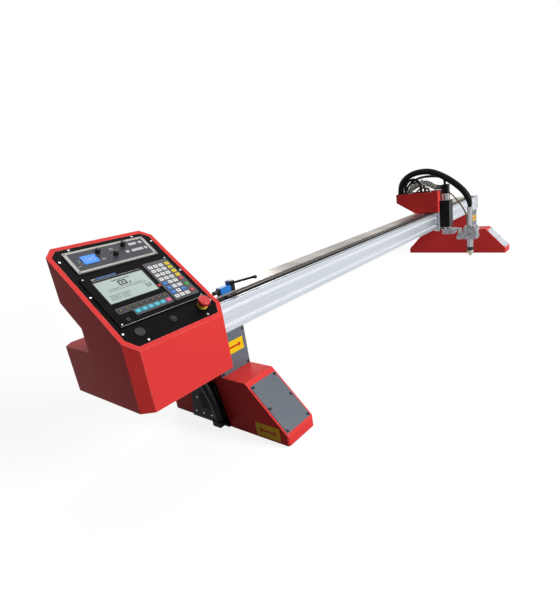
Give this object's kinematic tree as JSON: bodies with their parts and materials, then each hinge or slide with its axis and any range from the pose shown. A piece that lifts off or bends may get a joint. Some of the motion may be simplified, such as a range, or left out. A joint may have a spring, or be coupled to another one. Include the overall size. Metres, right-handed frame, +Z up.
{
  "type": "gantry cutting machine",
  "caption": "Portable gantry cutting machine: operator console on a grooved beam, wheeled end carriages and a torch station with lifter that runs along the beam.",
  "frame": {"origin": "middle of the machine's box, on the plane of the wheel treads", "axes": "+X along the beam from the console to the free end, +Y from the operator to the back, +Z up"},
  "size_m": [3.375, 0.805, 0.7454],
  "materials": {
    "red_paint": "glossy powder coat",
    "black_paint": "fine textured powder coat",
    "grey_plate": "satin grey sheet",
    "aluminium": "anodised extrusion",
    "machined_aluminium": "milled",
    "brushed_steel": "ground and brushed",
    "bright_steel": "polished",
    "dark_steel": "blackened",
    "black_plastic": "moulded",
    "grey_plastic": "membrane",
    "screen": "display face",
    "red_plastic": "moulded",
    "blue_plastic": "moulded",
    "brass": "turned",
    "rubber": "sleeved",
    "conduit": "ribbed tube"
  },
  "bodies": {
    "machine_frame": {"console_shell": "red_paint", "console_covers": "black_paint", "console_bracket": "black_paint", "panel_plate": "black_paint", "panel_screws": "bright_steel", "controller_case": "black_plastic", "displays": "screen", "keypad_sheets": "grey_plastic", "height_panel": "machined_aluminium", "panel_fittings": "black_plastic", "control_electronics": "machined_aluminium", "cable_glands": "black_plastic", "beam": "aluminium", "guide_strip": "brushed_steel", "travel_rack": "dark_steel", "beam_end_cap": "machined_aluminium", "near_carriage": "red_paint", "far_carriage": "red_paint", "carriage_covers": "grey_plate", "pedestals": "red_paint", "cover_screws": "dark_steel", "wheel_axles": "brushed_steel", "drive_motors": "black_paint", "drive_covers": "black_paint", "drive_conduit": "rubber", "limit_switch": "blue_plastic"},
    "torch_carriage": {"carriage_plates": "machined_aluminium", "roller_axles": "dark_steel", "tray": "red_paint", "station_motors": "black_paint", "lifter_frame": "machined_aluminium", "lifter_covers": "black_paint", "torch_hose": "rubber", "lifter_conduit": "conduit", "tray_cables": "rubber"},
    "torch_slide": {"lifter_slider": "brushed_steel", "torch_arm": "machined_aluminium", "torch_clamp": "machined_aluminium", "torch_barrel": "bright_steel", "torch_nozzle": "brass"},
    "near_front_wheel_body": {"near_front_wheel": "brushed_steel"},
    "near_rear_wheel_body": {"near_rear_wheel": "brushed_steel"},
    "far_front_wheel_body": {"far_front_wheel": "brushed_steel"},
    "far_rear_wheel_body": {"far_rear_wheel": "brushed_steel"},
    "near_pinion_body": {"near_pinion": "dark_steel"},
    "far_pinion_body": {"far_pinion": "dark_steel"},
    "height_knob_1_body": {"height_knob_1": "black_plastic"},
    "height_knob_2_body": {"height_knob_2": "black_plastic"},
    "height_knob_3_body": {"height_knob_3": "black_plastic"},
    "estop_plunger_body": {"estop_plunger": "black_plastic"},
    "estop_head_body": {"estop_head": "red_plastic"},
    "push_button_body": {"push_button": "black_plastic"},
    "limit_lever_body": {"limit_lever": "dark_steel"},
    "limit_roller_body": {"limit_roller": "black_plastic"},
    "travel_pinion_body": {"travel_pinion": "dark_steel"},
    "top_roller_1_body": {"top_roller_1": "brushed_steel"},
    "top_roller_2_body": {"top_roller_2": "brushed_steel"},
    "bottom_roller_1_body": {"bottom_roller_1": "brushed_steel"},
    "bottom_roller_2_body": {"bottom_roller_2": "brushed_steel"},
    "lifter_screw_body": {"lifter_screw": "brushed_steel"}
  },
  "joints": [
    {"name": "x_travel", "type": "slide", "parent": "machine_frame", "child": "torch_carriage", "axis": [1, 0, 0], "range_m": [-1.7, 0.62]},
    {"name": "z_travel", "type": "slide", "parent": "torch_carriage", "child": "torch_slide", "axis": [0, 0, 1], "range_m": [-0.12, 0], "deforming": ["torch_hose"]},
    {"name": "travel_pinion_turn", "type": "hinge", "parent": "torch_carriage", "child": "travel_pinion_body", "pos_m": [0.7785, -0.0945, 0.4365], "axis": [0, 0, 1], "continuous": true},
    {"name": "top_roller_1_turn", "type": "hinge", "parent": "torch_carriage", "child": "top_roller_1_body", "pos_m": [0.7445, -0.0185, 0.4663], "axis": [0, 1, 0], "continuous": true},
    {"name": "top_roller_2_turn", "type": "hinge", "parent": "torch_carriage", "child": "top_roller_2_body", "pos_m": [0.8125, -0.0185, 0.4663], "axis": [0, 1, 0], "continuous": true},
    {"name": "bottom_roller_1_turn", "type": "hinge", "parent": "torch_carriage", "child": "bottom_roller_1_body", "pos_m": [0.7545, -0.1275, 0.3357], "axis": [0, 1, 0], "continuous": true},
    {"name": "bottom_roller_2_turn", "type": "hinge", "parent": "torch_carriage", "child": "bottom_roller_2_body", "pos_m": [0.8025, -0.1275, 0.3357], "axis": [0, 1, 0], "continuous": true},
    {"name": "lifter_screw_turn", "type": "hinge", "parent": "torch_carriage", "child": "lifter_screw_body", "pos_m": [0.7785, -0.18725, 0.353], "axis": [0, 0, 1], "continuous": true},
    {"name": "near_front_wheel_turn", "type": "hinge", "parent": "machine_frame", "child": "near_front_wheel_body", "pos_m": [-1.2655, -0.2905, 0.038], "axis": [1, 0, 0], "continuous": true},
    {"name": "near_rear_wheel_turn", "type": "hinge", "parent": "machine_frame", "child": "near_rear_wheel_body", "pos_m": [-1.2655, 0.0705, 0.038], "axis": [1, 0, 0], "continuous": true},
    {"name": "far_front_wheel_turn", "type": "hinge", "parent": "machine_frame", "child": "far_front_wheel_body", "pos_m": [1.5625, -0.2905, 0.038], "axis": [1, 0, 0], "continuous": true},
    {"name": "far_rear_wheel_turn", "type": "hinge", "parent": "machine_frame", "child": "far_rear_wheel_body", "pos_m": [1.5625, 0.2905, 0.038], "axis": [1, 0, 0], "continuous": true},
    {"name": "near_pinion_turn", "type": "hinge", "parent": "machine_frame", "child": "near_pinion_body", "pos_m": [-1.2975, -0.0345, 0.01], "axis": [0, 0, 1], "continuous": true},
    {"name": "far_pinion_turn", "type": "hinge", "parent": "machine_frame", "child": "far_pinion_body", "pos_m": [1.5945, -0.0345, 0.01], "axis": [0, 0, 1], "continuous": true},
    {"name": "height_knob_1_turn", "type": "hinge", "parent": "machine_frame", "child": "height_knob_1_body", "pos_m": [-1.5515, 0.03714, 0.68907], "axis": [0, -0.6204, 0.7843], "range_deg": [-135, 135]},
    {"name": "height_knob_2_turn", "type": "hinge", "parent": "machine_frame", "child": "height_knob_2_body", "pos_m": [-1.5085, 0.01675, 0.67294], "axis": [0, -0.6204, 0.7843], "range_deg": [-135, 135]},
    {"name": "height_knob_3_turn", "type": "hinge", "parent": "machine_frame", "child": "height_knob_3_body", "pos_m": [-1.4655, 0.04106, 0.69217], "axis": [0, -0.6204, 0.7843], "range_deg": [-135, 135]},
    {"name": "estop_push", "type": "slide", "parent": "machine_frame", "child": "estop_plunger_body", "axis": [0, -0.6204, 0.7843], "range_m": [-0.004, 0]},
    {"name": "estop_twist", "type": "hinge", "parent": "estop_plunger_body", "child": "estop_head_body", "pos_m": [-1.4045, -0.21186, 0.50256], "axis": [0, -0.6204, 0.7843], "range_deg": [0, 45]},
    {"name": "button_push", "type": "slide", "parent": "machine_frame", "child": "push_button_body", "axis": [0, -0.6204, 0.7843], "range_m": [-0.0025, 0], "stiffness_N_per_m": 300},
    {"name": "limit_lever_turn", "type": "hinge", "parent": "machine_frame", "child": "limit_lever_body", "pos_m": [-1.1355, -0.0605, 0.483], "axis": [0, -1, 0], "range_deg": [-4, 45], "stiffness_Nm_per_rad": 2},
    {"name": "limit_roller_turn", "type": "hinge", "parent": "limit_lever_body", "child": "limit_roller_body", "pos_m": [-1.02178, -0.064, 0.47505], "axis": [0, 1, 0], "continuous": true}
  ],
  "couplings": [
    {"joint": "travel_pinion_turn", "follows": "x_travel", "rad_per_m": 66.667},
    {"joint": "top_roller_1_turn", "follows": "x_travel", "rad_per_m": 76.923},
    {"joint": "top_roller_2_turn", "follows": "x_travel", "rad_per_m": 76.923},
    {"joint": "bottom_roller_1_turn", "follows": "x_travel", "rad_per_m": -90.909},
    {"joint": "bottom_roller_2_turn", "follows": "x_travel", "rad_per_m": -90.909},
    {"joint": "lifter_screw_turn", "follows": "z_travel", "rad_per_m": 628.32}
  ]
}
